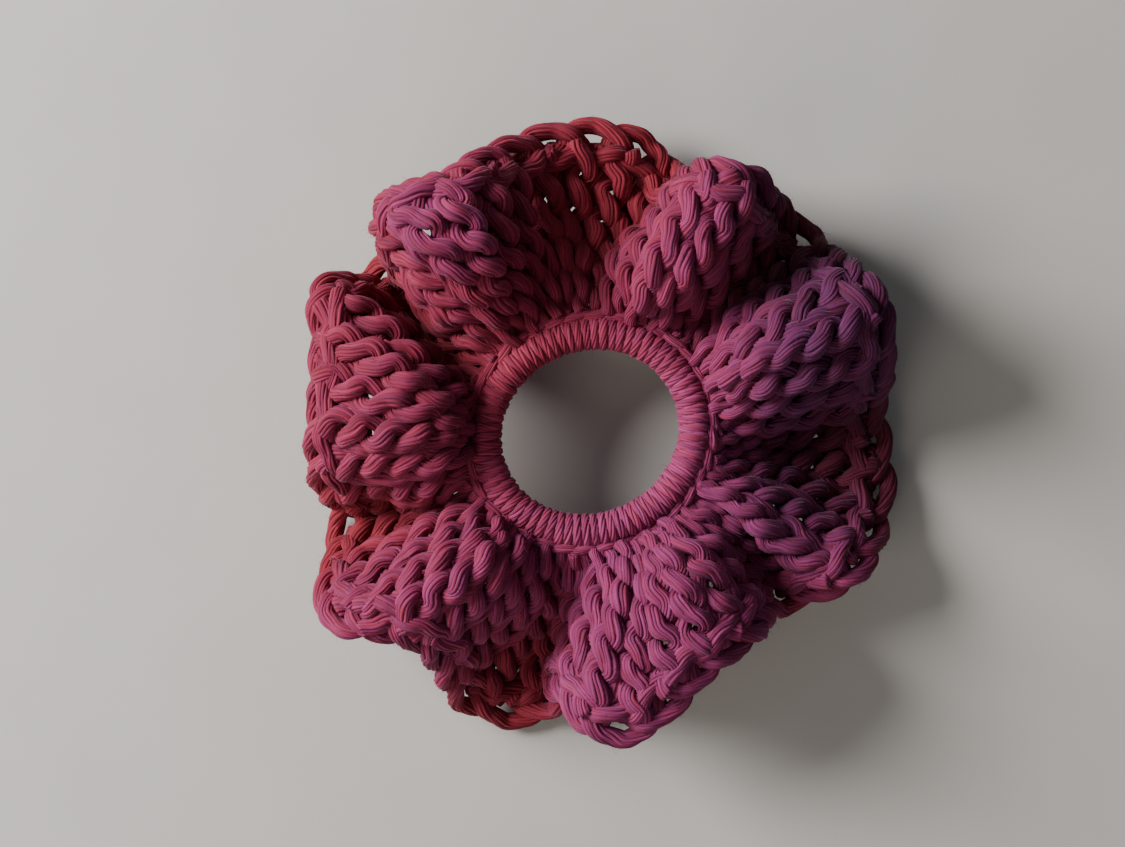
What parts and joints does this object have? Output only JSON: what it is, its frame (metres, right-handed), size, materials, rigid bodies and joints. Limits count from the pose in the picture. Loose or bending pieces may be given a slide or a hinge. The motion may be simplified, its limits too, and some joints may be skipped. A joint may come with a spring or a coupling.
{
  "type": "scrunchie",
  "caption": "Crocheted hair scrunchie: a covered hair elastic wrapped in single crochets, with a wavy ruffle of treble stitches and a chain rim; the ring stretches open.",
  "frame": {"origin": "centre of the ring, on the plane of the hair elastic's centreline", "axes": "+Z along the ring's axis, up out of the side that is seen from above; +X and +Y in the plane of the ring"},
  "size_m": [0.0952, 0.098, 0.0342],
  "materials": {
    "ring_yarn": "matte cotton yarn, wrapped tight",
    "ruffle_yarn": "matte cotton yarn, loosely twisted strands",
    "elastic": "dark covered elastic cord",
    "weld": "smooth glued joint"
  },
  "bodies": {
    "segment_01": {"elastic_01": "elastic", "single_crochets_01": "ring_yarn", "treble_posts_01": "ruffle_yarn", "rim_chain_01": "ruffle_yarn", "elastic_weld": "weld", "starting_chain": "ruffle_yarn"},
    "segment_02": {"elastic_02": "elastic", "single_crochets_02": "ring_yarn", "treble_posts_02": "ruffle_yarn", "rim_chain_02": "ruffle_yarn"},
    "segment_03": {"elastic_03": "elastic", "single_crochets_03": "ring_yarn", "treble_posts_03": "ruffle_yarn", "rim_chain_03": "ruffle_yarn", "start_tail": "ring_yarn"},
    "segment_04": {"elastic_04": "elastic", "single_crochets_04": "ring_yarn", "treble_posts_04": "ruffle_yarn", "rim_chain_04": "ruffle_yarn"},
    "segment_05": {"elastic_05": "elastic", "single_crochets_05": "ring_yarn", "treble_posts_05": "ruffle_yarn", "rim_chain_05": "ruffle_yarn"},
    "segment_06": {"elastic_06": "elastic", "single_crochets_06": "ring_yarn", "treble_posts_06": "ruffle_yarn", "rim_chain_06": "ruffle_yarn"},
    "segment_07": {"elastic_07": "elastic", "single_crochets_07": "ring_yarn", "treble_posts_07": "ruffle_yarn", "rim_chain_07": "ruffle_yarn"},
    "segment_08": {"elastic_08": "elastic", "single_crochets_08": "ring_yarn", "treble_posts_08": "ruffle_yarn", "rim_chain_08": "ruffle_yarn"},
    "segment_09": {"elastic_09": "elastic", "single_crochets_09": "ring_yarn", "treble_posts_09": "ruffle_yarn", "rim_chain_09": "ruffle_yarn"},
    "segment_10": {"elastic_10": "elastic", "single_crochets_10": "ring_yarn", "treble_posts_10": "ruffle_yarn", "rim_chain_10": "ruffle_yarn"},
    "segment_11": {"elastic_11": "elastic", "single_crochets_11": "ring_yarn", "treble_posts_11": "ruffle_yarn", "rim_chain_11": "ruffle_yarn"},
    "segment_12": {"elastic_12": "elastic", "single_crochets_12": "ring_yarn", "treble_posts_12": "ruffle_yarn", "rim_chain_12": "ruffle_yarn"},
    "segment_13": {"elastic_13": "elastic", "single_crochets_13": "ring_yarn", "treble_posts_13": "ruffle_yarn", "rim_chain_13": "ruffle_yarn"},
    "segment_14": {"elastic_14": "elastic", "single_crochets_14": "ring_yarn", "treble_posts_14": "ruffle_yarn", "rim_chain_14": "ruffle_yarn", "end_tail": "ruffle_yarn"}
  },
  "joints": [
    {"name": "stretch_07_08", "type": "slide", "parent": "segment_08", "child": "segment_07", "axis": [0.9962, -0.0872, 0], "range_m": [0, 0.01035], "stiffness_N_per_m": 60},
    {"name": "stretch_06_07", "type": "slide", "parent": "segment_07", "child": "segment_06", "axis": [0.8192, -0.5736, 0], "range_m": [0, 0.01035], "stiffness_N_per_m": 60},
    {"name": "stretch_05_06", "type": "slide", "parent": "segment_06", "child": "segment_05", "axis": [0.4226, -0.9063, 0], "range_m": [0, 0.01035], "stiffness_N_per_m": 60},
    {"name": "stretch_04_05", "type": "slide", "parent": "segment_05", "child": "segment_04", "axis": [-0.0872, -0.9962, 0], "range_m": [0, 0.01035], "stiffness_N_per_m": 60},
    {"name": "stretch_03_04", "type": "slide", "parent": "segment_04", "child": "segment_03", "axis": [-0.5736, -0.8192, 0], "range_m": [0, 0.01035], "stiffness_N_per_m": 60},
    {"name": "stretch_02_03", "type": "slide", "parent": "segment_03", "child": "segment_02", "axis": [-0.9063, -0.4226, 0], "range_m": [0, 0.01035], "stiffness_N_per_m": 60},
    {"name": "stretch_01_02", "type": "slide", "parent": "segment_02", "child": "segment_01", "axis": [-1, 0, 0], "range_m": [0, 0.00695], "stiffness_N_per_m": 60},
    {"name": "stretch_08_09", "type": "slide", "parent": "segment_08", "child": "segment_09", "axis": [-0.9063, -0.4226, 0], "range_m": [0, 0.01035], "stiffness_N_per_m": 60},
    {"name": "stretch_09_10", "type": "slide", "parent": "segment_09", "child": "segment_10", "axis": [-0.5736, -0.8192, 0], "range_m": [0, 0.01035], "stiffness_N_per_m": 60},
    {"name": "stretch_10_11", "type": "slide", "parent": "segment_10", "child": "segment_11", "axis": [-0.0872, -0.9962, 0], "range_m": [0, 0.01035], "stiffness_N_per_m": 60},
    {"name": "stretch_11_12", "type": "slide", "parent": "segment_11", "child": "segment_12", "axis": [0.4226, -0.9063, 0], "range_m": [0, 0.01035], "stiffness_N_per_m": 60},
    {"name": "stretch_12_13", "type": "slide", "parent": "segment_12", "child": "segment_13", "axis": [0.766, -0.6428, 0], "range_m": [0, 0.00695], "stiffness_N_per_m": 60},
    {"name": "stretch_13_14", "type": "slide", "parent": "segment_13", "child": "segment_14", "axis": [0.9063, -0.4226, 0], "range_m": [0, 0.00349], "stiffness_N_per_m": 60}
  ],
  "couplings": [
    {"joint": "stretch_06_07", "follows": "stretch_07_08", "ratio": 1},
    {"joint": "stretch_05_06", "follows": "stretch_07_08", "ratio": 1},
    {"joint": "stretch_04_05", "follows": "stretch_07_08", "ratio": 1},
    {"joint": "stretch_03_04", "follows": "stretch_07_08", "ratio": 1},
    {"joint": "stretch_02_03", "follows": "stretch_07_08", "ratio": 1},
    {"joint": "stretch_01_02", "follows": "stretch_07_08", "ratio": 0.67092},
    {"joint": "stretch_08_09", "follows": "stretch_07_08", "ratio": 1},
    {"joint": "stretch_09_10", "follows": "stretch_07_08", "ratio": 1},
    {"joint": "stretch_10_11", "follows": "stretch_07_08", "ratio": 1},
    {"joint": "stretch_11_12", "follows": "stretch_07_08", "ratio": 1},
    {"joint": "stretch_12_13", "follows": "stretch_07_08", "ratio": 0.67092},
    {"joint": "stretch_13_14", "follows": "stretch_07_08", "ratio": 0.33674}
  ]
}
